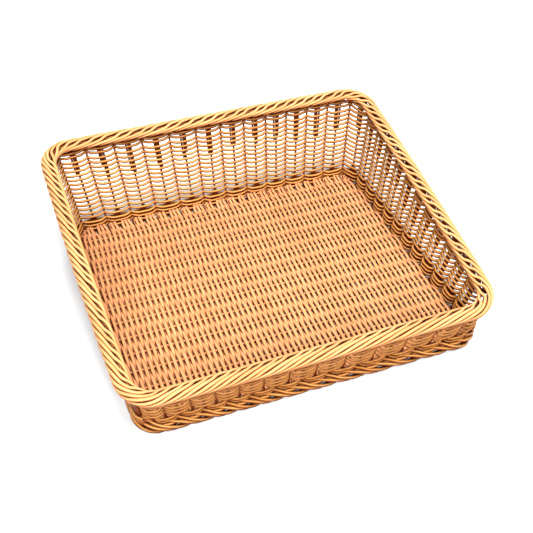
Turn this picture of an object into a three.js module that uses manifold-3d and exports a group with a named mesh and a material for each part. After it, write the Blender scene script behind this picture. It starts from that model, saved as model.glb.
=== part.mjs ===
// Sloped poly rattan basket: a woven floor, four flared stake walls with a foot border,
// open rows of weaving that keep level, three wales at the floor and two under the rim, and
// a rolled border of strands that wind round the rim from the outside to the inside.
// Millimetres, +Z up, front (the low side) towards -Y, origin under the middle of the rim.
import * as THREE from 'three';
import { mergeVertices } from 'three/addons/utils/BufferGeometryUtils.js';
import Module from 'manifold-3d';

const wasm = await Module();
wasm.setup();

// Outer size of the rim
const rimWidth = 398;
const rimDepth = 352;
const rimHeightFront = 59.5;
const rimHeightBack = 119.7;
const rimCornerRadius = 35;
const rimSideBow = 2.3;

// The high back flares more than the low front: the share that the rim widens by towards it
const rimTaper = 0.0165;

// How far the foot's outer edge stands inside the flared rim's
const footSideInset = 18.25;
const footFrontInset = 10;
const footBackInset = 26.5;
const footCornerRadius = 26;
const footBorderWidth = 12;
const footBorderHeight = 10;
const footEdgeRound = 3;

// How far the wall's middle surface stands inside the foot's outer edge
const wallInset = 8;

// Strands, stakes and how close they lie
const strandThickness = 2.8;
const stakeThickness = 2.7;
const rowStrandSides = 3;
const borderStrandSides = 4;
const seatGap = 0.3;

// How many stakes stand in each wall
const frontStakeCount = 25;
const sideStakeCount = 25;
const backStakeCount = 25;

// The middle stakes of the front and the back stand a little off their even places: the front's
// to the left and the back's to the right, by these shares of a gap
const frontStakeShift = 1.3;
const backStakeShift = 0.8;

// Rows of weaving, measured at the strand's centre, and drops below the rim's top
const floorWaleCount = 3;
const rimWaleCount = 2;
const rowCount = 14;
const floorWaleHeight = 12;
const waleSpacing = 4.3;
const firstRowHeight = 26.5;
const topRowDrop = 24.5;
const rimWaleDrop = 14;

// Rolled border: each strand's path round the rim has eight equal sides, one for each stake, and
// the border's middle stands a little inside the wall's
const borderStrandCount = 8;
const borderPathSide = 4.2;
const borderPathHalfHeight = 2.8;
const borderInset = 1.5;
const cornerTolerance = 1e-6;

// Floor: cross stakes between the upper and the lower halves of the weave
const floorUnderside = 5;
const floorSkinThickness = 2.6;
const floorRibDepth = 0.9;
const floorStrandPitch = 2.9;
const ribStrandCountAbove = 2;
const ribStrandCountBelow = 2;
const crossStakeThickness = 2.8;

const strandRadius = strandThickness / 2;
const stakeRadius = stakeThickness / 2;
const crossStakeRadius = crossStakeThickness / 2;
const sideCounts = [frontStakeCount, sideStakeCount, backStakeCount, sideStakeCount];
const stakeShifts = [frontStakeShift, 0, backStakeShift, 0];
const stakeCount = frontStakeCount + backStakeCount + 2 * sideStakeCount;
const weaveReach = stakeRadius + seatGap + strandRadius;

const borderPathHalfWidth = borderPathSide / 2
  + Math.sqrt(borderPathSide ** 2 - (borderPathHalfHeight - borderPathSide / 2) ** 2);
const borderHalfWidth = borderPathHalfWidth + strandRadius;
const borderHeight = 2 * (borderPathHalfHeight + strandRadius);
const borderOverhang = borderHalfWidth - borderInset;

const rimMiddle = {
  halfWidth: rimWidth / 2 - rimSideBow - borderOverhang,
  front: -rimDepth / 2 + borderOverhang,
  back: rimDepth / 2 - borderOverhang,
  radius: rimCornerRadius - borderOverhang,
  bow: rimSideBow,
  taper: rimTaper,
};
const footMiddle = {
  halfWidth: rimWidth / 2 - footSideInset - wallInset,
  front: -rimDepth / 2 + footFrontInset + wallInset,
  back: rimDepth / 2 - footBackInset - wallInset,
  radius: footCornerRadius - wallInset,
  bow: 0,
  taper: 0,
};

const honey = 0xe3a55a;
const paleHoney = 0xf0bd77;

function plastic(color) {
  return new THREE.MeshStandardMaterial({ color, roughness: 0.42, metalness: 0 });
}

// The side of the basket (0 front, 1 right, 2 back, 3 left) and the share of it at a stake number
function sideAt(station) {
  let rest = ((station % stakeCount) + stakeCount) % stakeCount;
  let side = 0;
  while (rest >= sideCounts[side]) {
    rest -= sideCounts[side];
    side += 1;
  }
  const even = rest / sideCounts[side];
  const shift = stakeShifts[side] / sideCounts[side] * Math.sin(Math.PI * even) ** 2;
  return { side, share: even - shift };
}

// A point and outward direction on a rounded rectangle, evenly spaced between corner middles
function outlineAt(plan, station) {
  const { side, share } = sideAt(station);
  const middleY = (plan.front + plan.back) / 2;
  const halfDepth = (plan.back - plan.front) / 2;
  const along = side % 2 === 0 ? plan.halfWidth : halfDepth;
  const across = side % 2 === 0 ? halfDepth : plan.halfWidth;
  const straight = along - plan.radius;
  const halfArc = plan.radius * Math.PI / 4;
  const travel = share * 2 * (straight + halfArc);
  let t = travel - halfArc - straight;
  let out = across;
  let turn = 0;
  if (travel < halfArc) {
    turn = travel / plan.radius - Math.PI / 4;
    t = -straight + plan.radius * Math.sin(turn);
    out = across - plan.radius + plan.radius * Math.cos(turn);
  } else if (travel > 2 * straight + halfArc) {
    turn = (travel - 2 * straight - halfArc) / plan.radius;
    t = straight + plan.radius * Math.sin(turn);
    out = across - plan.radius + plan.radius * Math.cos(turn);
  }
  if (side % 2 === 1) {
    out += plan.bow * (1 - (t / along) ** 2);
  }
  const heading = side * Math.PI / 2;
  const tangent = new THREE.Vector2(Math.cos(heading), Math.sin(heading));
  const outward = new THREE.Vector2(Math.sin(heading), -Math.cos(heading));
  const point = new THREE.Vector2(0, middleY)
    .addScaledVector(tangent, t)
    .addScaledVector(outward, out);
  point.x *= 1 + plan.taper * (point.y - middleY) / halfDepth;
  const normal = outward.clone().multiplyScalar(Math.cos(turn))
    .addScaledVector(tangent, Math.sin(turn));
  return { point, normal };
}

function rimHeightAt(y) {
  const share = (y + rimDepth / 2) / rimDepth;
  return rimHeightFront + (rimHeightBack - rimHeightFront) * share;
}

function rimTopAt(station) {
  return rimHeightAt(outlineAt(rimMiddle, station).point.y);
}

// A point on the wall's middle surface, moved outwards by the offset
function wallPoint(station, height, offset = 0) {
  const foot = outlineAt(footMiddle, station);
  const rim = outlineAt(rimMiddle, station);
  const rise = height / rimTopAt(station);
  const point = foot.point.clone().lerp(rim.point, rise);
  const normal = foot.normal.clone().lerp(rim.normal, rise).normalize();
  point.addScaledVector(normal, offset);
  return new THREE.Vector3(point.x, point.y, height);
}

// A path through the points at a list of stake numbers, one step for each
class StakePath extends THREE.Curve {
  constructor(stations, pointAt) {
    super();
    this.stations = stations;
    this.pointAt = pointAt;
  }

  getUtoTmapping(u) {
    return u;
  }

  getPoint(t) {
    const place = t * (this.stations.length - 1);
    const before = Math.min(Math.floor(place), this.stations.length - 2);
    const start = this.stations[before];
    return this.pointAt(start + (this.stations[before + 1] - start) * (place - before));
  }
}

// Stake numbers in even steps from the first to the last
function evenStations(first, last, steps) {
  const stations = [];
  for (let step = 0; step <= steps; step += 1) {
    stations.push(first + (last - first) * step / steps);
  }
  return stations;
}

// A strand's section, with one edge facing outwards
function strandSection(sides) {
  const corners = [];
  for (let corner = 0; corner < sides; corner += 1) {
    const angle = 2 * Math.PI * corner / sides - Math.PI / 2;
    corners.push(new THREE.Vector2(Math.cos(angle), Math.sin(angle)).multiplyScalar(strandRadius));
  }
  return new THREE.Shape(corners);
}

function sweep(section, path) {
  return new THREE.ExtrudeGeometry(section, {
    steps: path.stations.length - 1,
    extrudePath: path,
    bevelEnabled: false,
  });
}

function asSolid(geometry) {
  const bare = geometry.clone();
  bare.deleteAttribute('normal');
  bare.deleteAttribute('uv');
  const merged = mergeVertices(bare, 1e-4);
  return new wasm.Manifold(new wasm.Mesh({
    numProp: 3,
    vertProperties: new Float32Array(merged.attributes.position.array),
    triVerts: new Uint32Array(merged.index.array),
  }));
}

function asGeometry(solid) {
  const mesh = solid.getMesh();
  const geometry = new THREE.BufferGeometry();
  geometry.setAttribute('position', new THREE.BufferAttribute(mesh.vertProperties, 3));
  geometry.setIndex(new THREE.BufferAttribute(mesh.triVerts, 1));
  geometry.computeVertexNormals();
  return geometry;
}

const basket = new THREE.Group();

function addPiece(name, geometry, color) {
  const piece = new THREE.Mesh(geometry, plastic(color));
  piece.name = name;
  basket.add(piece);
}

// A prism over the floor, inside the foot band, with a corner wherever the band has one
const floorInset = footBorderWidth - wallInset + seatGap;
function floorPrism() {
  const corners = [];
  for (let station = 0; station < stakeCount; station += 1) {
    const here = outlineAt(footMiddle, station);
    const before = outlineAt(footMiddle, station - 1).normal;
    const after = outlineAt(footMiddle, station + 1).normal;
    if (before.distanceTo(after) > 1e-6) {
      corners.push(here.point.clone().addScaledVector(here.normal, -floorInset));
    }
  }
  const prism = new THREE.ExtrudeGeometry(new THREE.Shape(corners), {
    depth: 2 * footBorderHeight,
    bevelEnabled: false,
  });
  prism.translate(0, 0, -footBorderHeight / 2);
  return asSolid(prism);
}

// Floor skin: the ribs of the strands that run from front to back, cut to the floor's outline
function floorSkin(base, ribsUp, ribStrandCount) {
  const halfWidth = footMiddle.halfWidth - floorInset;
  const front = footMiddle.front + floorInset;
  const back = footMiddle.back - floorInset;
  const ribs = Math.round(2 * halfWidth / floorStrandPitch / ribStrandCount);
  const pitch = 2 * halfWidth / ribs;
  const flat = ribsUp ? base : base + floorSkinThickness;
  const crest = ribsUp ? base + floorSkinThickness : base;
  const groove = ribsUp ? crest - floorRibDepth : crest + floorRibDepth;
  const profile = new THREE.Shape();
  profile.moveTo(-halfWidth - pitch, flat);
  profile.lineTo(-halfWidth - pitch, groove);
  for (let rib = 0; rib <= ribs; rib += 1) {
    profile.lineTo(-halfWidth + rib * pitch, groove);
    if (rib < ribs) {
      profile.lineTo(-halfWidth + (rib + 0.5) * pitch, crest);
    }
  }
  profile.lineTo(halfWidth + pitch, groove);
  profile.lineTo(halfWidth + pitch, flat);
  profile.closePath();
  const sheet = new THREE.ExtrudeGeometry(profile, {
    depth: back - front + 2 * pitch,
    bevelEnabled: false,
  });
  sheet.rotateX(Math.PI / 2);
  sheet.translate(0, back + pitch, 0);
  return asGeometry(asSolid(sheet).intersect(floorPrism()));
}

const crossStakeLevel = floorUnderside + floorSkinThickness + seatGap + crossStakeRadius;
const upperSkinBase = crossStakeLevel + crossStakeRadius + seatGap;
addPiece('floor_weave_lower', floorSkin(floorUnderside, false, ribStrandCountBelow), honey);
addPiece('floor_weave_upper', floorSkin(upperSkinBase, true, ribStrandCountAbove), honey);

// Cross stakes: one from each stake of the left wall to its partner in the right wall
for (let number = 0; number < sideStakeCount; number += 1) {
  const end = wallPoint(frontStakeCount + number + 0.5, crossStakeLevel);
  const rod = new THREE.CylinderGeometry(crossStakeRadius, crossStakeRadius, 2 * end.x, 6);
  rod.rotateZ(Math.PI / 2);
  rod.translate(0, end.y, crossStakeLevel);
  const cut = asSolid(rod).intersect(floorPrism());
  addPiece(`floor_cross_stake_${String(number + 1).padStart(2, '0')}`, asGeometry(cut), honey);
}

// Foot border: a rounded band with a flat underside, swept along one side of the basket
function footBand(first, count) {
  const section = new THREE.Shape();
  const inner = footBorderWidth - wallInset;
  section.moveTo(0, inner);
  section.lineTo(0, footEdgeRound - wallInset);
  section.lineTo(-footEdgeRound, -wallInset);
  section.lineTo(footEdgeRound - footBorderHeight, -wallInset);
  section.lineTo(-footBorderHeight, footEdgeRound - wallInset);
  section.lineTo(-footBorderHeight, inner);
  section.closePath();
  const pitch = wallPoint(first + 1, 0).distanceTo(wallPoint(first + 2, 0));
  const endGap = seatGap / 2 / pitch;
  const stations = evenStations(first + endGap, first + count - endGap, count);
  return sweep(section, new StakePath(stations, (station) => wallPoint(station, 0)));
}

// One upright stake, square in section with its edges facing in and out
function uprightStake(station) {
  const low = wallPoint(station, footBorderHeight / 2);
  const high = wallPoint(station, rimTopAt(station) - borderHeight - 3 * seatGap);
  const along = high.clone().sub(low);
  const stake = new THREE.CylinderGeometry(stakeRadius, stakeRadius, along.length(), 4);
  const up = along.clone().normalize();
  const normal = outlineAt(rimMiddle, station).normal;
  const outward = new THREE.Vector3(normal.x, normal.y, 0);
  const sideways = new THREE.Vector3().crossVectors(up, outward).normalize();
  outward.crossVectors(sideways, up);
  const frame = new THREE.Matrix4().makeBasis(sideways, up, outward);
  stake.applyMatrix4(frame);
  stake.translate(...low.clone().add(high).multiplyScalar(0.5).toArray());
  return stake;
}

const sideNames = ['front', 'right', 'back', 'left'];
let firstStake = 0;
for (let side = 0; side < sideNames.length; side += 1) {
  let frame = asSolid(footBand(firstStake, sideCounts[side]));
  for (let number = 0; number < sideCounts[side]; number += 1) {
    frame = frame.add(asSolid(uprightStake(firstStake + number + 0.5)));
  }
  addPiece(`stakes_and_foot_${sideNames[side]}`, asGeometry(frame), honey);
  firstStake += sideCounts[side];
}

// A strand that goes inside one stake and outside the next
function wovenStrand(start, end, heightAt) {
  const stations = evenStations(start, end, Math.round(end - start));
  const path = new StakePath(stations, (station) => {
    const offset = weaveReach * Math.sin(Math.PI * station);
    return wallPoint(station, heightAt(station), offset);
  });
  return sweep(strandSection(rowStrandSides), path);
}

// A row that closes on itself: its two ends face each other inside a stake
function closedRow(seamStake, heightAt) {
  const start = seamStake + 0.5;
  const pitch = wallPoint(start, 0).distanceTo(wallPoint(start + 1, 0));
  const endGap = seatGap / 2 / pitch;
  return wovenStrand(start + endGap, start + stakeCount - endGap, heightAt);
}

const insideSeam = frontStakeCount + 2 * Math.floor(sideStakeCount / 4);
for (let wale = 0; wale < floorWaleCount; wale += 1) {
  const height = floorWaleHeight + wale * waleSpacing;
  const row = closedRow(insideSeam + 4 * wale, () => height);
  addPiece(`floor_wale_${wale + 1}`, row, honey);
}

for (let wale = 0; wale < rimWaleCount; wale += 1) {
  const drop = rimWaleDrop + wale * waleSpacing;
  const row = closedRow(insideSeam + 4 * wale, (station) => rimTopAt(station) - drop);
  addPiece(`rim_wale_${wale + 1}`, row, paleHoney);
}

// Rows of weaving keep level with the foot, so the upper ones stop where the rim slopes down
const lastWaleDrop = rimWaleDrop + (rimWaleCount - 1) * waleSpacing;
const roomUnderRim = lastWaleDrop + strandThickness + seatGap;
const topRowHeight = rimHeightAt(rimMiddle.back) - topRowDrop;
const rowSpacing = (topRowHeight - firstRowHeight) / (rowCount - 1);
for (let row = 0; row < rowCount; row += 1) {
  const height = firstRowHeight + row * rowSpacing;
  const fits = (stake) => rimTopAt(stake + 0.5) - roomUnderRim >= height;
  const name = `weave_row_${String(row + 1).padStart(2, '0')}`;
  if (fits(0)) {
    addPiece(name, closedRow(insideSeam + 2 * row, () => height), honey);
  } else {
    let first = frontStakeCount;
    while (!fits(first)) {
      first += 1;
    }
    let last = stakeCount - 1;
    while (!fits(last)) {
      last -= 1;
    }
    addPiece(name, wovenStrand(first + 0.5, last + 0.5, () => height), honey);
  }
}

// Eight-sided path of a border strand round the rim, starting at its lower outer corner
function borderPathCorner(corner) {
  const half = borderPathSide / 2;
  const corners = [
    [borderPathHalfWidth, -half],
    [borderPathHalfWidth, half],
    [half, borderPathHalfHeight],
    [-half, borderPathHalfHeight],
    [-borderPathHalfWidth, half],
    [-borderPathHalfWidth, -half],
    [-half, -borderPathHalfHeight],
    [half, -borderPathHalfHeight],
  ];
  return corners[((corner % borderStrandCount) + borderStrandCount) % borderStrandCount];
}

// Each border strand winds about once round the rim for every eight stakes that it passes
const borderWindings = Math.round(stakeCount / borderStrandCount);
const cornerCount = borderWindings * borderStrandCount;
for (let strand = 0; strand < borderStrandCount; strand += 1) {
  const pointAt = (place) => {
    const turn = place - strand;
    const corner = Math.floor(turn + cornerTolerance);
    const share = turn - corner;
    const [outA, upA] = borderPathCorner(corner);
    const [outB, upB] = borderPathCorner(corner + 1);
    const out = outA + (outB - outA) * share;
    const up = upA + (upB - upA) * share;
    const rim = outlineAt(rimMiddle, place * stakeCount / cornerCount);
    const point = rim.point.clone().addScaledVector(rim.normal, out - borderInset);
    const middle = rimHeightAt(rim.point.y) - borderHeight / 2;
    return new THREE.Vector3(point.x, point.y, middle + up);
  };
  const endGap = seatGap / 2 / pointAt(strand).distanceTo(pointAt(strand + 1));
  const places = evenStations(strand, strand + cornerCount, cornerCount);
  places[0] += endGap;
  places[cornerCount] -= endGap;
  const winding = sweep(strandSection(borderStrandSides), new StakePath(places, pointAt));
  addPiece(`rim_border_strand_${strand + 1}`, winding, paleHoney);
}

export default basket;
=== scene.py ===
# Sloped poly rattan basket, dressed strand by strand: woven floor, stakes, rows, wales and borders.
import math
import random

import bpy
from mathutils import Matrix, Vector


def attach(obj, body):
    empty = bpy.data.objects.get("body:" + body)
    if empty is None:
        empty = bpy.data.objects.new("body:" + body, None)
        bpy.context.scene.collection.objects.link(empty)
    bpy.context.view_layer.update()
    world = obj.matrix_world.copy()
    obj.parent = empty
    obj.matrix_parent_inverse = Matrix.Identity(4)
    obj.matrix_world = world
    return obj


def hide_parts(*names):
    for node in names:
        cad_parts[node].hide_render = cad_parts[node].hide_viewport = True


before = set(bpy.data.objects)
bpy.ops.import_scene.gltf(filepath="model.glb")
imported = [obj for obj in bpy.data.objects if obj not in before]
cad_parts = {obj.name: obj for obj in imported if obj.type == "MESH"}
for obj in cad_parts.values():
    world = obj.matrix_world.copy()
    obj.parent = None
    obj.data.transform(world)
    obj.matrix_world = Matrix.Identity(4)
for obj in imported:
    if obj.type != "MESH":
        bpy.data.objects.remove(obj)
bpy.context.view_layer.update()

MM = 0.001
BODY = "root"

# Outer size of the rim, in millimetres like every size down to the materials
RIM_WIDTH = 398.0
RIM_DEPTH = 352.0
RIM_HEIGHT_FRONT = 59.5
RIM_HEIGHT_BACK = 119.7
RIM_CORNER_RADIUS = 35.0
RIM_SIDE_BOW = 2.3
RIM_TAPER = 0.0165
BORDER_OVERHANG = 6.14

# Outer size of the foot
FOOT_WIDTH = 361.5
FOOT_FRONT_EDGE = -166.0
FOOT_BACK_EDGE = 149.5
FOOT_CORNER_RADIUS = 26.0
WALL_INSET = 8.0

# Radii of the strands, which all have the same number of faces round them
STRAND_SIDES = 8
STRAND_RADIUS = 1.62
FRONT_STRAND_RADIUS = 1.15
FOOT_STRAND_RADIUS = 1.8
BORDER_RADIUS = 1.72
STAKE_RADIUS = 1.3
SIDE_STRAND_RADIUS = STAKE_RADIUS * 0.95
CROSS_RADIUS = 1.7
FLOOR_HALF_WIDTH = 1.85
FLOOR_HALF_HEIGHT = 1.35

# Stakes are numbered round the basket from its front left corner, and lag in mid front and back
SIDE_NAMES = ("front", "right", "back", "left")
SIDE_COUNTS = (25, 25, 25, 25)
FRONT_STAKES, SIDE_STAKES, BACK_STAKES = SIDE_COUNTS[:3]
BACK_FIRST = FRONT_STAKES + SIDE_STAKES
STAKE_COUNT = sum(SIDE_COUNTS)
CORNERS = (0, FRONT_STAKES, BACK_FIRST, BACK_FIRST + BACK_STAKES, STAKE_COUNT)
FRONT_STAKE_SHIFT = 1.3
BACK_STAKE_SHIFT = 0.8

# Heights of the rows of weaving and the wales
FIRST_ROW_HEIGHT = 26.5
ROW_SPACING = 5.18
ROW_COUNT = 14
ROOM_UNDER_RIM = 21.4
FLOOR_WALE_HEIGHTS = (12.0, 16.3, 20.4)
RIM_WALE_DROPS = (14.0, 18.3)

# How far rows and stakes swing in and out round each other, and the share that the rows take
WEAVE_REACH = 2.95
ROW_SHARES = {"front": 0.85, "right": 0.7, "back": 0.45, "left": 0.6}
SHARE_BLEND = 1.5
FRONT_BLEND = 1.0
WALE_FLIP_START = 17.5
WALE_FLIP_END = 26.0

# Shape of a row's long arcs and of the tight cusps between them
BEND = 0.006
ARC_FLATNESS = 2.5
ARC_POWER = 0.4
CUSP_DEPTH = 1.3
FRONT_CUSP_DEPTH = 0.8
CUSP_CLEARANCE = 0.1
ARC_CLEARANCE = 2.9

# How far the long arcs of a row hang down, and how far it strays up and out
ROW_SAG = 0.85
FRONT_ROW_SAG = 2.3
ROW_LIFT = 0.28
ROW_PULL = 0.2
STEPS_PER_STAKE = 8

# A closed row starts and ends on the right wall, each past the one below, and others pass a stake
SEAM_STEP = 2
INSIDE_SEAM = FRONT_STAKES + SEAM_STEP * (SIDE_STAKES // 4)
ROW_TAIL = 1.0

# Wales swing wider than rows, and have a second strand that fills them from outside
WALE_SWELL = 1.25
WALE_SEAM_STEP = 4
BACKING_OUT = 3.3
BACKING_REACH = 0.7
BACKING_DROP = 1.6
UPPER_BACKING_OUT = 3.0
UPPER_BACKING_DROP = 15.6
COARSE_STEPS = 4

# Floor strands, held by every second cross stake, with the other cross stakes under them
CROSS_LEVEL = 9.3
UNDER_LEVEL = 4.6
CROSS_STEPS = 40
FLOOR_STRAND_PITCH = 2.9
FLOOR_STRAND_COUNT = 119
FLOOR_WAVE = 2.0
FLOOR_STEP = 2.4
FLOOR_BACK_REACH = 1.0
FLOOR_SWAY = 0.16
SWAY_DRAWS = 40
STEPS_PER_SWAY = 5

# Ends of the floor strands: turned up inside the wall, and at the back drawn into bundles
FLOOR_TURN_RADIUS = 3.0
FLOOR_TURN_TOP = 12.8
FLOOR_TURN_SPREAD = 1.0
FLOOR_TURN_STEPS = 4
FLOOR_TURN_LEAN = 0.5
FLOOR_TIP_LEAN = 0.4
FLOOR_TIP_LENGTH = 1.0
BUNDLE_LENGTH = 20.0
BUNDLE_DRAW = 0.3
BUNDLE_CURVE = 1.5
BUNDLE_LEAN = 0.35
BUNDLE_SLACK = 1.0

# Stakes, with two strands beside every second one under the rim and two more above the foot
STAKE_FOOT = 4.0
STAKE_FOOT_EASE = 8.0
STAKE_TOP_DROP = 6.5
STAKE_CALM_DROP = 14.0
STAKE_CALM_LENGTH = 6.0
STAKE_LEAN = 0.03
STAKE_WAVE = 3.0
STAKE_STEPS = 24
SIDE_STRAND_SPREAD = 2.3
FAN_SPREADS = (0.95, 1.25)
FAN_TOP_LENGTH = 42.0
FAN_LENGTHS = (0.7, 1.15)
FAN_ROOM = 3.0
FAN_STEPS = 12
FAN_FOOT_SHARE = 0.85
FAN_OPENING = 3.0
SPLAY_FOOT = 12.0
SPLAY_ENDS = (-2, 1)
SPLAY_STEPS = 6
SPLAY_CLOSING = 0.1

# Path of a stake's end along the foot: stakes passed, way out from the wall and height
FOOT_PAIR = 0.19
FOOT_STEPS = 32
FOOT_PATH = (
    (-0.5, 0.2, 17.5),
    (-0.1, 1.4, 14.2),
    (0.4, 3.6, 11.8),
    (0.9, 5.5, 9.2),
    (1.4, 6.4, 6.4),
    (1.9, 6.3, 3.8),
    (2.4, 5.0, 2.2),
    (2.9, 2.8, 1.6),
    (3.5, 0.2, 1.6),
    (4.0, -2.6, 2.2),
)

# Path of a stake's end along the rim: stakes passed, way out from the wall and drop from the top
BORDER_GROUPS = 8
BORDER_COUNT = 112
BORDER_PAIR = 0.03
BORDER_WOBBLE = 0.08
WOBBLE_EASE = 3.0
BORDER_STEPS = 60
RIM_PATH = (
    (-0.40, 0.2, 13.8),
    (0.10, 1.9, 11.8),
    (0.60, 3.5, 9.9),
    (1.10, 4.4, 7.9),
    (1.60, 4.6, 5.8),
    (2.05, 3.9, 3.8),
    (2.50, 2.6, 2.3),
    (3.05, 0.5, 1.75),
    (3.50, -1.3, 1.8),
    (3.85, -2.9, 1.9),
    (4.07, -5.0, 2.5),
    (4.30, -7.2, 3.4),
    (4.75, -8.6, 4.6),
    (5.60, -9.1, 6.6),
    (6.30, -8.2, 8.6),
)

# Stake ends that fill the border: way out, drop, radius, first stake and last stake
BORDER_CORES = (
    (1.0, 6.2, 2.0, 0, STAKE_COUNT),
    (-2.6, 5.8, 1.8, BACK_FIRST, STAKE_COUNT + FRONT_STAKES),
)

# Tones of the strands that don't draw one, from 0 for dark to 1 for light
CROSS_TONE = 0.3
LOWER_BACKING_TONE = 0.3
LOWER_BACKING_TONE_STEP = 0.2
UPPER_BACKING_TONE = 0.1
CORE_TONE = 0.0

# Seeds of the random draws
FLOOR_TONE_SEED = 7
FLOOR_TURN_SEED = 1000
FLOOR_SWAY_SEED = 2000
STAKE_SEED = 11
BORDER_SEED = 21
LOWER_WALE_SEED = 30
UPPER_WALE_SEED = 40
ROW_SEED = 60
PULL_SEED_STEP = 500

# Look of the plastic: colours, patches and streaks of tone, painted shade in the crevices and on downward
# faces, and gloss
# Painted shade: a near-black colour in the crevices and a dark red-brown on faces turned down, with the
# limits over which each clears
PAINTED_CREVICE_SHADE = (0.05, 0.005, 0.0005)
PAINTED_UNDERSIDE_SHADE = (0.10, 0.018, 0.002)
UPWARD = (0.02, 0.86)
OPENNESS = (0.42, 1.0)
PATCH_SCALE = 38.0
PATCH_DETAIL = 3.0
TONE_WEIGHT = 0.55
TONE_SHIFT = -0.05
TONE_LOW_PLACE = 0.15
TONE_HIGH_PLACE = 0.9
CREVICE_REACH = 0.012
CREVICE_SAMPLES = 6
STREAK_STRETCH = (9.0, 60.0, 1.0)
STREAK_SCALE = 2.2
STREAK_DETAIL = 4.0
STREAK_SMOOTHER = 0.07
STREAK_ROUGHER = 0.09
STREAK_BUMP = 0.25
STREAK_DEPTH = 0.0004
GLOSS = 0.1
GLOSS_TINT = (1.0, 0.66, 0.34, 1.0)

# Studio in metres and watts: ground, white world, and the place, size and power of each light
GROUND_SIZE = 6.0
GROUND_GREY = (0.62, 0.62, 0.62, 1.0)
GROUND_ROUGHNESS = 0.9
WORLD_WHITE = (1.0, 1.0, 1.0, 1.0)
WORLD_STRENGTH = 0.16
LIGHT_TARGET = (0.0, 0.0, 0.05)
LIGHTS = (
    ("key_light", (0.15, -0.3, 1.8), 1.2, 84.0),
    ("front_light", (-0.6, -1.6, 1.1), 1.2, 92.0),
    ("rear_light", (0.9, 1.6, 1.0), 1.4, 34.0),
)

# Camera fitted to the photo: place in metres, angles in degrees, focal length in pixels of the frame
CAMERA_PLACE = (-0.2632, -0.68339, 0.65964)
CAMERA_YAW = 21.592
CAMERA_PITCH = 40.946
CAMERA_ROLL = 1.111
CAMERA_SENSOR = 36.0
FRAME_PIXELS = 533.0
FOCAL_PIXELS = 889.87

rim_middle = {
    "half_width": RIM_WIDTH / 2 - RIM_SIDE_BOW - BORDER_OVERHANG,
    "front": -RIM_DEPTH / 2 + BORDER_OVERHANG,
    "back": RIM_DEPTH / 2 - BORDER_OVERHANG,
    "radius": RIM_CORNER_RADIUS - BORDER_OVERHANG,
    "bow": RIM_SIDE_BOW,
    "taper": RIM_TAPER,
}
foot_middle = {
    "half_width": FOOT_WIDTH / 2 - WALL_INSET,
    "front": FOOT_FRONT_EDGE + WALL_INSET,
    "back": FOOT_BACK_EDGE - WALL_INSET,
    "radius": FOOT_CORNER_RADIUS - WALL_INSET,
    "bow": 0.0,
    "taper": 0.0,
}


# Curves

def smooth(value):
    """Soft step from 0 to 1, held outside."""
    value = min(max(value, 0.0), 1.0)
    return value * value * (3 - 2 * value)


def through(table, t):
    """Smooth curve through rows of (t, values...), all values at t."""
    last = len(table) - 1
    if t <= table[0][0]:
        return table[0][1:]
    if t >= table[last][0]:
        return table[last][1:]
    index = 0
    while table[index + 1][0] < t:
        index += 1
    before, start = table[max(index - 1, 0)], table[index]
    end, after = table[index + 1], table[min(index + 2, last)]
    span = end[0] - start[0]
    share = (t - start[0]) / span
    s2, s3 = share * share, share * share * share
    values = []
    for axis in range(1, len(start)):
        slope_in = (end[axis] - before[axis]) / (end[0] - before[0]) * span
        slope_out = (after[axis] - start[axis]) / (after[0] - start[0]) * span
        values.append(
            (2 * s3 - 3 * s2 + 1) * start[axis] + (s3 - 2 * s2 + share) * slope_in
            + (3 * s2 - 2 * s3) * end[axis] + (s3 - s2) * slope_out)
    return values


def sampled(table, steps):
    """Rows of (t, values...) at even steps from the table's first t to its last."""
    start, end = table[0][0], table[-1][0]
    rows = []
    for index in range(steps + 1):
        t = start + (end - start) * index / steps
        rows.append((t, *through(table, t)))
    return rows


def stations(first, last, steps):
    """Stake numbers from the first to the last, with so many steps from one to the next."""
    return [index / steps for index in range(first * steps, last * steps + 1)]


def wander(seed, count, amount):
    """Closed smooth noise over the stakes: a value at any stake number."""
    draw = random.Random(seed)
    values = [draw.uniform(-amount, amount) for _ in range(count)]

    def at(station):
        low = math.floor(station)
        share = smooth(station - low)
        return values[low % count] * (1 - share) + values[(low + 1) % count] * share
    return at


# Outline of the basket

def side_at(station):
    """Side of the basket at a stake number, and the share of that side passed."""
    rest = station % STAKE_COUNT
    side = 0
    while rest >= SIDE_COUNTS[side]:
        rest -= SIDE_COUNTS[side]
        side += 1
    share = rest / SIDE_COUNTS[side]
    lag = math.sin(math.pi * share) ** 2
    if SIDE_NAMES[side] == "front":
        share -= FRONT_STAKE_SHIFT / FRONT_STAKES * lag
    if SIDE_NAMES[side] == "back":
        share -= BACK_STAKE_SHIFT / BACK_STAKES * lag
    return side, share


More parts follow.
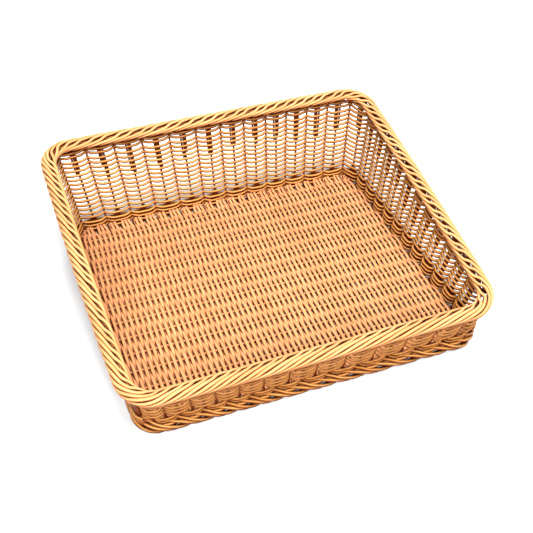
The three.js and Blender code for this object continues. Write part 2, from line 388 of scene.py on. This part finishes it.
def outline_at(plan, station):
    """Point and outward normal on a rounded rectangle, evenly spaced between corner middles."""
    side, share = side_at(station)
    middle_y = (plan["front"] + plan["back"]) / 2
    half_depth = (plan["back"] - plan["front"]) / 2
    along, across = plan["half_width"], half_depth
    if side % 2 == 1:
        along, across = across, along
    radius = plan["radius"]
    straight = along - radius
    half_arc = radius * math.pi / 4
    travel = share * 2 * (straight + half_arc)
    t, out, turn = travel - half_arc - straight, across, 0.0
    if travel < half_arc:
        turn = travel / radius - math.pi / 4
        t = -straight + radius * math.sin(turn)
        out = across - radius + radius * math.cos(turn)
    elif travel > 2 * straight + half_arc:
        turn = (travel - 2 * straight - half_arc) / radius
        t = straight + radius * math.sin(turn)
        out = across - radius + radius * math.cos(turn)
    if side % 2 == 1:
        out += plan["bow"] * (1 - (t / along) ** 2)
    heading = side * math.pi / 2
    tangent = (math.cos(heading), math.sin(heading))
    outward = (math.sin(heading), -math.cos(heading))
    x = tangent[0] * t + outward[0] * out
    y = middle_y + tangent[1] * t + outward[1] * out
    nx = outward[0] * math.cos(turn) + tangent[0] * math.sin(turn)
    ny = outward[1] * math.cos(turn) + tangent[1] * math.sin(turn)
    return x * (1 + plan["taper"] * (y - middle_y) / half_depth), y, nx, ny


def rim_height_at(y):
    """Height of the rim's top, which slopes evenly from front to back."""
    share = (y + RIM_DEPTH / 2) / RIM_DEPTH
    return RIM_HEIGHT_FRONT + (RIM_HEIGHT_BACK - RIM_HEIGHT_FRONT) * share


def rim_top_at(station):
    """Height of the rim's top at a stake number."""
    return rim_height_at(outline_at(rim_middle, station)[1])


def wall_point(station, height, offset=0.0):
    """Point on the wall's middle surface, moved outwards by the offset."""
    fx, fy, fnx, fny = outline_at(foot_middle, station)
    rx, ry, rnx, rny = outline_at(rim_middle, station)
    rise = height / rim_height_at(ry)
    nx, ny = fnx + (rnx - fnx) * rise, fny + (rny - fny) * rise
    length = math.hypot(nx, ny)
    x = fx + (rx - fx) * rise + offset * nx / length
    y = fy + (ry - fy) * rise + offset * ny / length
    return Vector((x, y, height))


def rim_point(station, out, drop):
    """Point near the rim: out from the border's middle line, and down from the rim's top."""
    x, y, nx, ny = outline_at(rim_middle, station)
    return Vector((x + nx * out, y + ny * out, rim_height_at(y) - drop))


# Strands

class Strands:
    """Plastic strands gathered into one mesh, each with a tone of its own."""

    def __init__(self, name):
        self.name = name
        self.vertices = []
        self.faces = []
        self.uvs = []
        self.tones = []

    def add(self, points, radius, tone, across=None, width=1.0):
        """One closed tube through the points, in millimetres, wider along the way across. Its
        radius is a number, or a list with one for each point."""
        sides = STRAND_SIDES
        count = len(points)
        radii = radius if isinstance(radius, list) else [radius] * count
        first = len(self.vertices)
        tangents = []
        for index in range(count):
            ahead = points[min(index + 1, count - 1)] - points[max(index - 1, 0)]
            tangents.append(ahead.normalized())
        across = across or tangents[0].orthogonal().normalized()
        circle = [(math.cos(2 * math.pi * k / sides), math.sin(2 * math.pi * k / sides))
                  for k in range(sides)]
        travel = 0.0
        lengths = []
        for index, point in enumerate(points):
            tangent = tangents[index]
            across = (across - tangent * across.dot(tangent)).normalized()
            beside = tangent.cross(across)
            if index:
                travel += (point - points[index - 1]).length
            lengths.append(travel)
            for c, s in circle:
                self.vertices.append((point + (across * c * width + beside * s) * radii[index]) * MM)
            self.tones.extend([tone] * sides)
        for index in range(count - 1):
            low, high = first + index * sides, first + (index + 1) * sides
            v0, v1 = lengths[index] * MM, lengths[index + 1] * MM
            for k in range(sides):
                following = (k + 1) % sides
                self.faces.append((low + k, low + following, high + following, high + k))
                u0, u1 = k / sides, (k + 1) / sides
                self.uvs.extend((u0, v0, u1, v0, u1, v1, u0, v1))
        top = first + (count - 1) * sides
        self.faces.append(tuple(first + k for k in reversed(range(sides))))
        self.faces.append(tuple(top + k for k in range(sides)))
        self.uvs.extend([0.0, 0.0] * (2 * sides))

    def build(self, material, slot, *nodes):
        """The mesh as one piece of the basket, in place of the nodes that it dresses."""
        mesh = bpy.data.meshes.new(self.name)
        mesh.from_pydata(self.vertices, [], self.faces)
        mesh.polygons.foreach_set("use_smooth", [True] * len(self.faces))
        uv_map = mesh.uv_layers.new(name="strand")
        uv_map.data.foreach_set("uv", self.uvs)
        tone = mesh.attributes.new("tone", "FLOAT", "POINT")
        tone.data.foreach_set("value", self.tones)
        mesh.materials.append(material)
        mesh.update()
        piece = bpy.data.objects.new(self.name, mesh)
        bpy.context.scene.collection.objects.link(piece)
        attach(piece, BODY)
        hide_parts(*nodes)


# Materials

def noise(tree, vector, scale, detail):
    """Soft noise over a vector."""
    texture = tree.nodes.new("ShaderNodeTexNoise")
    texture.inputs["Scale"].default_value = scale
    texture.inputs["Detail"].default_value = detail
    tree.links.new(vector, texture.inputs["Vector"])
    return texture.outputs["Fac"]


def weighted(tree, value):
    """Node that gives the value times the weight of a tone, plus what its last socket holds."""
    total = tree.nodes.new("ShaderNodeMath")
    total.operation = "MULTIPLY_ADD"
    total.inputs[1].default_value = TONE_WEIGHT
    tree.links.new(value, total.inputs[0])
    return total


def risen(tree, value, low, high, shape="LINEAR"):
    """Share from 0 to 1 that a value has risen between two limits."""
    limits = tree.nodes.new("ShaderNodeMapRange")
    limits.interpolation_type = shape
    limits.inputs["From Min"].default_value = low
    limits.inputs["From Max"].default_value = high
    tree.links.new(value, limits.inputs["Value"])
    return limits.outputs["Result"]


def over(tree, dark, colour, share):
    """A dark colour where the share is 0, and the linked colour where it is 1."""
    mix = tree.nodes.new("ShaderNodeMix")
    mix.data_type = "RGBA"
    mix.inputs["A"].default_value = (*dark, 1.0)
    tree.links.new(share, mix.inputs["Factor"])
    tree.links.new(colour, mix.inputs["B"])
    return mix.outputs["Result"]


def strand_colour(tree, place, tone_low, tone_high):
    """Colour between two tones, by the strand's own tone and by soft patches."""
    tone = tree.nodes.new("ShaderNodeAttribute")
    tone.attribute_name = "tone"
    own = weighted(tree, tone.outputs["Fac"])
    own.inputs[2].default_value = TONE_SHIFT
    patched = weighted(tree, noise(tree, place.outputs["Object"], PATCH_SCALE, PATCH_DETAIL))
    tree.links.new(own.outputs[0], patched.inputs[2])
    ramp = tree.nodes.new("ShaderNodeValToRGB")
    low, high = ramp.color_ramp.elements
    low.position = TONE_LOW_PLACE
    low.color = (*tone_low, 1.0)
    high.position = TONE_HIGH_PLACE
    high.color = (*tone_high, 1.0)
    tree.links.new(patched.outputs[0], ramp.inputs["Fac"])
    return ramp.outputs["Color"]


def with_painted_shade(tree, place, colour, upward, openness):
    """The colour with painted shade: darker where the strand faces down, as if lit from above, and
    near-black in the crevices.
    """
    facing = tree.nodes.new("ShaderNodeSeparateXYZ")
    tree.links.new(place.outputs["Normal"], facing.inputs["Vector"])
    # Painted shade: darker where the strand faces down, as if lit from above
    lit = over(tree, PAINTED_UNDERSIDE_SHADE, colour, risen(tree, facing.outputs["Z"], *upward, "SMOOTHSTEP"))
    # Painted shade: the colour goes near-black in the crevices that ambient occlusion finds
    crevice = tree.nodes.new("ShaderNodeAmbientOcclusion")
    crevice.samples = CREVICE_SAMPLES
    crevice.inputs["Distance"].default_value = CREVICE_REACH
    return over(tree, PAINTED_CREVICE_SHADE, lit, risen(tree, crevice.outputs["AO"], *openness))


def streaks(tree):
    """Fine noise drawn out along the strand."""
    strand_uv = tree.nodes.new("ShaderNodeUVMap")
    strand_uv.uv_map = "strand"
    stretch = tree.nodes.new("ShaderNodeMapping")
    stretch.inputs["Scale"].default_value = STREAK_STRETCH
    tree.links.new(strand_uv.outputs["UV"], stretch.inputs["Vector"])
    return noise(tree, stretch.outputs["Vector"], STREAK_SCALE, STREAK_DETAIL)


def rattan(name, tone_low, tone_high, roughness, upward=UPWARD, openness=OPENNESS):
    """Extruded plastic strand with a soft gloss. Painted shade darkens its colour and clears as its face
    turns upward, from the first limit to the second, and as its place opens between two more limits."""
    material = bpy.data.materials.new(name)
    material.use_nodes = True
    tree = material.node_tree
    shader = tree.nodes["Principled BSDF"]
    place = tree.nodes.new("ShaderNodeTexCoord")
    colour = strand_colour(tree, place, tone_low, tone_high)
    tree.links.new(with_painted_shade(tree, place, colour, upward, openness), shader.inputs["Base Color"])

    grain = streaks(tree)
    rough = tree.nodes.new("ShaderNodeMapRange")
    rough.inputs["To Min"].default_value = roughness - STREAK_SMOOTHER
    rough.inputs["To Max"].default_value = roughness + STREAK_ROUGHER
    tree.links.new(grain, rough.inputs["Value"])
    tree.links.new(rough.outputs["Result"], shader.inputs["Roughness"])
    bump = tree.nodes.new("ShaderNodeBump")
    bump.inputs["Strength"].default_value = STREAK_BUMP
    bump.inputs["Distance"].default_value = STREAK_DEPTH
    tree.links.new(grain, bump.inputs["Height"])
    tree.links.new(bump.outputs["Normal"], shader.inputs["Normal"])
    shader.inputs["Specular IOR Level"].default_value = GLOSS
    shader.inputs["Specular Tint"].default_value = GLOSS_TINT
    return material


# All four plastics carry painted shade on downward faces and in crevices; the floor and border set their
# own limits for it
wall_plastic = rattan("wall_rattan", (0.50, 0.205, 0.050), (0.62, 0.315, 0.098), roughness=0.34)
# Stakes use a darker copy of the strand plastic: painted shade, standing in for the shade they sit in
# behind the rows
shaded_stake_plastic = rattan("stake_rattan", (0.26, 0.085, 0.014), (0.38, 0.155, 0.034), roughness=0.40)
floor_plastic = rattan("floor_rattan", (0.46, 0.182, 0.074), (0.52, 0.226, 0.098), roughness=0.42,
                       upward=(-1.0, 0.1), openness=(0.3, 0.82))
border_plastic = rattan("border_rattan", (0.46, 0.192, 0.070), (0.56, 0.270, 0.110), roughness=0.36,
                        upward=(-0.4, 0.6), openness=(0.3, 0.88))


# Floor

CROSS_PLACES = [wall_point(number + 0.5, CROSS_LEVEL).y for number in range(FRONT_STAKES, BACK_FIRST)]
BACK_STAKE_PLACES = [wall_point(number + 0.5, CROSS_LEVEL).x
                     for number in range(BACK_FIRST, BACK_FIRST + BACK_STAKES)]


def crossing_number(y):
    """Cross stake number at a place along the floor, as a running value."""
    places = CROSS_PLACES
    if y <= places[0]:
        return (y - places[0]) / (places[1] - places[0])
    if y >= places[-1]:
        return SIDE_STAKES - 1 + (y - places[-1]) / (places[-1] - places[-2])
    index = 0
    while places[index + 1] < y:
        index += 1
    return index + (y - places[index]) / (places[index + 1] - places[index])


def floor_reach(x):
    """Front and back ends of the floor at x, where its strands turn up."""
    radius = foot_middle["radius"]
    into = max(abs(x) - (foot_middle["half_width"] - radius), 0.0)
    cut = radius - math.sqrt(max(radius * radius - into * into, 0.0))
    return foot_middle["front"] + cut, foot_middle["back"] - cut + FLOOR_BACK_REACH


def bundle_place(x):
    """Place of the back stake that a floor strand joins: the nearest one on its left."""
    joined = [place for place in BACK_STAKE_PLACES if place <= x + BUNDLE_SLACK]
    return max(joined) if joined else min(BACK_STAKE_PLACES)


def floor_turn(end, way, lean, top):
    """A floor strand's end turned up inside the wall, to the front (-1) or to the back (1)."""
    turn = []
    for step in range(1, FLOOR_TURN_STEPS + 1):
        angle = math.pi / 2 * step / FLOOR_TURN_STEPS
        turn.append(Vector((
            end.x + lean * step / FLOOR_TURN_STEPS,
            end.y + way * FLOOR_TURN_RADIUS * math.sin(angle),
            end.z + FLOOR_TURN_RADIUS * (1 - math.cos(angle)))))
    bend = turn[-1]
    tip = max(top, bend.z + FLOOR_TIP_LENGTH)
    turn.append(Vector((bend.x, bend.y + way * FLOOR_TIP_LEAN, tip)))
    return turn


def floor_strand(number):
    """One strand from the front wall to the back wall, drawn into its bundle at the back."""
    x = (number - (FLOOR_STRAND_COUNT - 1) / 2) * FLOOR_STRAND_PITCH
    front, back = floor_reach(x)
    start, end = front + FLOOR_TURN_RADIUS, back - FLOOR_TURN_RADIUS
    sign = -1 if number % 2 else 1
    pull = (bundle_place(x) - x) * BUNDLE_DRAW
    sway = wander(FLOOR_SWAY_SEED + number, SWAY_DRAWS, FLOOR_SWAY)
    steps = int(round((end - start) / FLOOR_STEP))
    points = []
    for index in range(steps + 1):
        y = start + (end - start) * index / steps
        wave = math.sin(math.pi * crossing_number(y) / 2)
        near_bundle = max(1 - (back - y) / BUNDLE_LENGTH, 0.0)
        aside = pull * near_bundle ** BUNDLE_CURVE + sway(index / STEPS_PER_SWAY)
        points.append(Vector((x + aside, y, CROSS_LEVEL + sign * FLOOR_WAVE * wave)))
    draw = random.Random(FLOOR_TURN_SEED + number)
    turns = []
    for way, last, drawn in ((-1, points[0], 0.0), (1, points[-1], pull * BUNDLE_LEAN)):
        lean = draw.uniform(-FLOOR_TURN_LEAN, FLOOR_TURN_LEAN) + drawn
        top = FLOOR_TURN_TOP + draw.uniform(-FLOOR_TURN_SPREAD, FLOOR_TURN_SPREAD)
        turns.append(floor_turn(last, way, lean, top))
    return turns[0][::-1] + points + turns[1]


def floor_half(name, numbers, node, draw):
    """Half of the floor's strands, flat in section, in place of one skin of the floor."""
    strands = Strands(name)
    for number in numbers:
        strands.add(floor_strand(number), FLOOR_HALF_HEIGHT, draw.random(),
                    across=Vector((1, 0, 0)), width=FLOOR_HALF_WIDTH / FLOOR_HALF_HEIGHT)
    strands.build(floor_plastic, "floor_rattan", node)


def cross_stake(number):
    """A straight stake from side to side, held by the weave if its number is odd."""
    strands = Strands(f"cross_stake_{number + 1:02d}")
    right = wall_point(FRONT_STAKES + number + 0.5, CROSS_LEVEL)
    level = CROSS_LEVEL if number % 2 else UNDER_LEVEL
    points = []
    for index in range(CROSS_STEPS + 1):
        x = right.x * (2 * index / CROSS_STEPS - 1)
        points.append(Vector((x, right.y, level)))
    strands.add(points, CROSS_RADIUS, CROSS_TONE)
    strands.build(floor_plastic, "floor_rattan", f"floor_cross_stake_{number + 1:02d}")


floor_draw = random.Random(FLOOR_TONE_SEED)
half_count = FLOOR_STRAND_COUNT // 2
floor_half("floor_strands_left", range(half_count), "floor_weave_lower", floor_draw)
floor_half("floor_strands_right", range(half_count, FLOOR_STRAND_COUNT), "floor_weave_upper", floor_draw)
for number in range(SIDE_STAKES):
    cross_stake(number)


# Way of the rows and stakes round each other

def on_front(station):
    """1 along the front wall, 0 along the others, with a soft change at the corners."""
    rest = (station + 2 * FRONT_BLEND) % STAKE_COUNT - 2 * FRONT_BLEND
    entered = smooth((rest + FRONT_BLEND) / (2 * FRONT_BLEND))
    return entered * smooth((FRONT_STAKES + FRONT_BLEND - rest) / (2 * FRONT_BLEND))


def row_share(station):
    """Share of the reach that a row takes, blended round the corners."""
    rest = station % STAKE_COUNT
    share = 0.0
    weight = 0.0
    for name, low, high in zip(SIDE_NAMES, CORNERS, CORNERS[1:]):
        for turn in (-STAKE_COUNT, 0, STAKE_COUNT):
            inside = smooth((rest + turn - low + SHARE_BLEND) / (2 * SHARE_BLEND))
            inside *= smooth((high + SHARE_BLEND - rest - turn) / (2 * SHARE_BLEND))
            share += inside * ROW_SHARES[name]
            weight += inside
    return share / weight


ROW_SHARE_TABLE = [row_share(index / COARSE_STEPS) for index in range(COARSE_STEPS * STAKE_COUNT)]


def row_share_at(station):
    """A row's share at the nearest quarter of a stake."""
    return ROW_SHARE_TABLE[int(round(station * COARSE_STEPS)) % len(ROW_SHARE_TABLE)]


def swing(phase, outer):
    """Way of a row: long arcs to 1 outside on the front wall or to 1 inside elsewhere, with
    tight cusps on the other side of the stakes."""
    rise = math.sin(math.pi * (phase + 0.5) / 2) ** 2
    arc = (1 - (1 - BEND) * rise ** ARC_FLATNESS) ** ARC_POWER
    counter_arc = (1 - (1 - BEND) * (1 - rise) ** ARC_FLATNESS) ** ARC_POWER
    inner_arcs = CUSP_DEPTH - (1 + CUSP_DEPTH) * arc
    outer_arcs = (1 + FRONT_CUSP_DEPTH) * counter_arc - FRONT_CUSP_DEPTH
    return inner_arcs * (1 - outer) + outer_arcs * outer


def row_offset(station, phase):
    """How far a row stands outside the wall's middle."""
    return row_share_at(station) * WEAVE_REACH * swing(phase, on_front(station))


def stake_beside(station, phase):
    """Offset of a stake that leans on the rows, and sits deep in their cusps."""
    offset = row_offset(station, phase)
    in_cusp = (offset < 0) == (on_front(station) > 0.5)
    return offset - math.copysign(CUSP_CLEARANCE if in_cusp else ARC_CLEARANCE, offset)


def stake_offset(number, height):
    """How far a stake stands inside (-) or outside the wall's middle at a height."""
    station = number + 0.5
    flipped = 1 - smooth((height - WALE_FLIP_START) / (WALE_FLIP_END - WALE_FLIP_START))
    above = stake_beside(station, station)
    below = stake_beside(station, station + on_front(station))
    offset = above + (below - above) * flipped
    offset *= smooth((height - STAKE_FOOT) / STAKE_FOOT_EASE)
    return offset * (1 - smooth((height - rim_top_at(station) + STAKE_CALM_DROP) / STAKE_CALM_LENGTH))


# Stakes and the foot border

def upright(number, low, high, steps, shift_at):
    """Points up a stake from one height to another, shifted along the wall at each share of it."""
    points = []
    for index in range(steps + 1):
        share = index / steps
        height = low + (high - low) * share
        points.append(wall_point(number + 0.5 + shift_at(share), height, stake_offset(number, height)))
    return points


def stake(strands, number, bundled, draw):
    """A stake, and if it is bundled the strands on both sides of it under the rim and above the
    foot."""
    station = number + 0.5
    top = rim_top_at(station) - STAKE_TOP_DROP
    lean = draw.uniform(-STAKE_LEAN, STAKE_LEAN)
    main = upright(number, STAKE_FOOT, top, STAKE_STEPS,
                   lambda share: lean * math.sin(STAKE_WAVE * share))
    strands.add(main, STAKE_RADIUS, draw.random())
    if not bundled:
        return
    pitch = (wall_point(station + 0.5, top) - wall_point(station - 0.5, top)).length
    for beside in (-1, 1):
        tone = draw.random()
        depth = FAN_TOP_LENGTH * draw.uniform(*FAN_LENGTHS)
        spread = beside * SIDE_STRAND_SPREAD * draw.uniform(*FAN_SPREADS) / pitch
        low = max(top - depth, FIRST_ROW_HEIGHT - FAN_ROOM)
        fan = upright(number, low, top, FAN_STEPS, lambda share: spread * (
            FAN_FOOT_SHARE + (1 - FAN_FOOT_SHARE) * smooth(FAN_OPENING * share)))
        strands.add(fan, SIDE_STRAND_RADIUS, tone)
    for beside in (-1, 1):
        high = FIRST_ROW_HEIGHT + draw.uniform(*SPLAY_ENDS)
        spread = beside * SIDE_STRAND_SPREAD / pitch
        splay = upright(number, SPLAY_FOOT, high, SPLAY_STEPS,
                        lambda share: spread * (1 - SPLAY_CLOSING * share))
        strands.add(splay, SIDE_STRAND_RADIUS, draw.random())


def foot_end(strands, number, draw):
    """A stake's lower end, laid outwards over its neighbours and in under the floor's edge."""
    pair = FOOT_PAIR if number % 2 else -FOOT_PAIR
    points = []
    for t, out, height in sampled(FOOT_PATH, FOOT_STEPS):
        points.append(wall_point(number + 0.5 + t + pair * smooth(t), height, out))
    strands.add(points, FOOT_STRAND_RADIUS, draw.random())


stake_draw = random.Random(STAKE_SEED)
for side_name, side_first, side_end in zip(SIDE_NAMES, CORNERS, CORNERS[1:]):
    stakes = Strands(f"stakes_{side_name}")
    foot = Strands(f"foot_border_{side_name}")
    for number in range(side_first, side_end):
        stake(stakes, number, number % 2 and side_name != "front", stake_draw)
        foot_end(foot, number, stake_draw)
    stakes.build(shaded_stake_plastic, "stake_rattan", f"stakes_and_foot_{side_name}")
    foot.build(wall_plastic, "stake_rattan", f"stakes_and_foot_{side_name}")


# Rows and wales

def woven(name, start, end, height_at, seed, swell=1.0, flip=False):
    """A strand that goes inside one stake and outside the next. On the front wall it is thinner
    and never swells, and there a flipped one goes round each stake on its other side."""
    lift = wander(seed, STAKE_COUNT, ROW_LIFT)
    pull = wander(seed + PULL_SEED_STEP, STAKE_COUNT, ROW_PULL)
    steps = int(round((end - start) * STEPS_PER_STAKE))
    points = []
    radii = []
    for index in range(steps + 1):
        station = start + (end - start) * index / steps
        front = on_front(station)
        phase = station + (front if flip else 0.0)
        offset = row_offset(station, phase) * (swell + (1 - swell) * front) + pull(station)
        sag = (ROW_SAG * (1 - front) - FRONT_ROW_SAG * front) * swing(phase, front)
        points.append(wall_point(station, height_at(station) + lift(station) + sag, offset))
        radii.append(STRAND_RADIUS + (FRONT_STRAND_RADIUS - STRAND_RADIUS) * front)
    strands = Strands(name)
    strands.add(points, radii, random.Random(seed).random())
    return strands


def lower_wale(wale, height):
    """One of the close strands just above the floor. The lowest is filled all the way round, and
    the others from the front right corner to the front left one."""
    start = INSIDE_SEAM + WALE_SEAM_STEP * wale + 0.5
    strands = woven(f"lower_wale_{wale + 1}", start, start + STAKE_COUNT,
                    lambda station: height, LOWER_WALE_SEED + wale, WALE_SWELL, flip=True)
    backing = []
    for station in stations(FRONT_STAKES if wale else 0, STAKE_COUNT, STEPS_PER_STAKE):
        out = BACKING_OUT - BACKING_REACH * math.sin(math.pi * station)
        backing.append(wall_point(station, height - BACKING_DROP, out))
    strands.add(backing, FOOT_STRAND_RADIUS, LOWER_BACKING_TONE + LOWER_BACKING_TONE_STEP * wale)
    strands.build(wall_plastic, "wall_rattan", f"floor_wale_{wale + 1}")


def upper_wale(wale, drop):
    """One of the close strands just under the rim, the first with a strand that fills it."""
    start = INSIDE_SEAM + WALE_SEAM_STEP * wale + 0.5
    strands = woven(f"upper_wale_{wale + 1}", start, start + STAKE_COUNT,
                    lambda station: rim_top_at(station) - drop, UPPER_WALE_SEED + wale, WALE_SWELL)
    if wale == 0:
        backing = []
        for station in stations(FRONT_STAKES, STAKE_COUNT, COARSE_STEPS):
            height = rim_top_at(station) - UPPER_BACKING_DROP
            backing.append(wall_point(station, height, UPPER_BACKING_OUT))
        strands.add(backing, FOOT_STRAND_RADIUS, UPPER_BACKING_TONE)
    strands.build(wall_plastic, "wall_rattan", f"rim_wale_{wale + 1}")


def fits(number, height):
    """Whether a level row has room under the sloping rim at a stake."""
    return rim_top_at(number + 0.5) - ROOM_UNDER_RIM >= height


def row_ends(row, height):
    """Where a row starts and ends: all the way round if it fits in front, and otherwise from the
    first stake with room on the right wall to the last one on the left wall."""
    if fits(0, height):
        start = INSIDE_SEAM + SEAM_STEP * row + 0.5
        return start, start + STAKE_COUNT
    roomy = [number for number in range(FRONT_STAKES, STAKE_COUNT) if fits(number, height)]
    return roomy[0] + 0.5 - ROW_TAIL, roomy[-1] + 0.5 + ROW_TAIL


def weave_row(row):
    """One level strand woven in and out of the stakes."""
    height = FIRST_ROW_HEIGHT + row * ROW_SPACING
    start, end = row_ends(row, height)
    strands = woven(f"row_{row + 1:02d}", start, end, lambda station: height, ROW_SEED + row)
    strands.build(wall_plastic, "wall_rattan", f"weave_row_{row + 1:02d}")


for wale, height in enumerate(FLOOR_WALE_HEIGHTS):
    lower_wale(wale, height)
for wale, drop in enumerate(RIM_WALE_DROPS):
    upper_wale(wale, drop)
for row in range(ROW_COUNT):
    weave_row(row)


# Rolled rim border

def rim_end(strands, number, draw):
    """A stake's upper end: it leaves outwards, lies in the outer roll, crosses to the inside as a
    rung and ends in the chain along the inner edge."""
    pair = BORDER_PAIR if number % 2 else -BORDER_PAIR
    wobble = draw.uniform(-BORDER_WOBBLE, BORDER_WOBBLE) + pair
    start = number * STAKE_COUNT / BORDER_COUNT
    points = []
    for t, out, drop in sampled(RIM_PATH, BORDER_STEPS):
        points.append(rim_point(start + t + wobble * smooth(t / WOBBLE_EASE), out, drop))
    strands.add(points, BORDER_RADIUS, draw.random())


groups = [Strands(f"rolled_border_{group + 1}") for group in range(BORDER_GROUPS)]
for out, drop, radius, first, last in BORDER_CORES:
    core = [rim_point(station, out, drop) for station in stations(first, last, COARSE_STEPS)]
    groups[0].add(core, radius, CORE_TONE)
border_draw = random.Random(BORDER_SEED)
for number in range(BORDER_COUNT):
    rim_end(groups[number % BORDER_GROUPS], number, border_draw)
for group, strands in enumerate(groups):
    strands.build(border_plastic, "border_rattan", f"rim_border_strand_{group + 1}")


# Ground, light and camera

def ground():
    """Matt grey plane that the basket stands on."""
    bpy.ops.object.select_all(action="DESELECT")
    bpy.ops.mesh.primitive_plane_add(size=GROUND_SIZE, location=(0.0, 0.0, 0.0))
    plane = bpy.context.active_object
    plane.name = "ground"
    material = bpy.data.materials.new("ground")
    material.use_nodes = True
    shader = material.node_tree.nodes["Principled BSDF"]
    shader.inputs["Base Color"].default_value = GROUND_GREY
    shader.inputs["Roughness"].default_value = GROUND_ROUGHNESS
    shader.inputs["Specular IOR Level"].default_value = GLOSS
    plane.data.materials.append(material)


def studio_world():
    """Even white light from all round."""
    world = bpy.data.worlds.new("studio")
    world.use_nodes = True
    background = world.node_tree.nodes["Background"]
    background.inputs["Color"].default_value = WORLD_WHITE
    background.inputs["Strength"].default_value = WORLD_STRENGTH
    bpy.context.scene.world = world


def soft_light(name, place, size, power):
    """Round area light turned towards the basket."""
    data = bpy.data.lights.new(name, "AREA")
    data.shape = "DISK"
    data.size = size
    data.energy = power
    lamp = bpy.data.objects.new(name, data)
    lamp.location = place
    aim = Vector(LIGHT_TARGET) - Vector(place)
    lamp.rotation_euler = aim.to_track_quat("-Z", "Y").to_euler()
    bpy.context.scene.collection.objects.link(lamp)


def photo_camera():
    """Camera where the photo was taken from, with its tilt and its angle of view."""
    yaw, pitch, roll = (math.radians(angle) for angle in (CAMERA_YAW, CAMERA_PITCH, CAMERA_ROLL))
    forward = Vector((math.sin(yaw) * math.cos(pitch), math.cos(yaw) * math.cos(pitch), -math.sin(pitch)))
    level = Vector((math.cos(yaw), -math.sin(yaw), 0.0))
    upward = level.cross(forward)
    camera_right = level * math.cos(roll) + upward * math.sin(roll)
    camera_up = upward * math.cos(roll) - level * math.sin(roll)
    data = bpy.data.cameras.new("camera")
    data.sensor_width = CAMERA_SENSOR
    data.lens = CAMERA_SENSOR * FOCAL_PIXELS / FRAME_PIXELS
    camera = bpy.data.objects.new("camera", data)
    turn = Matrix((camera_right, camera_up, -forward)).transposed()
    camera.matrix_world = Matrix.Translation(CAMERA_PLACE) @ turn.to_4x4()
    bpy.context.scene.collection.objects.link(camera)
    return camera


ground()
studio_world()
for light in LIGHTS:
    soft_light(*light)
bpy.context.scene.camera = photo_camera()
bpy.context.scene.view_settings.view_transform = "Standard"
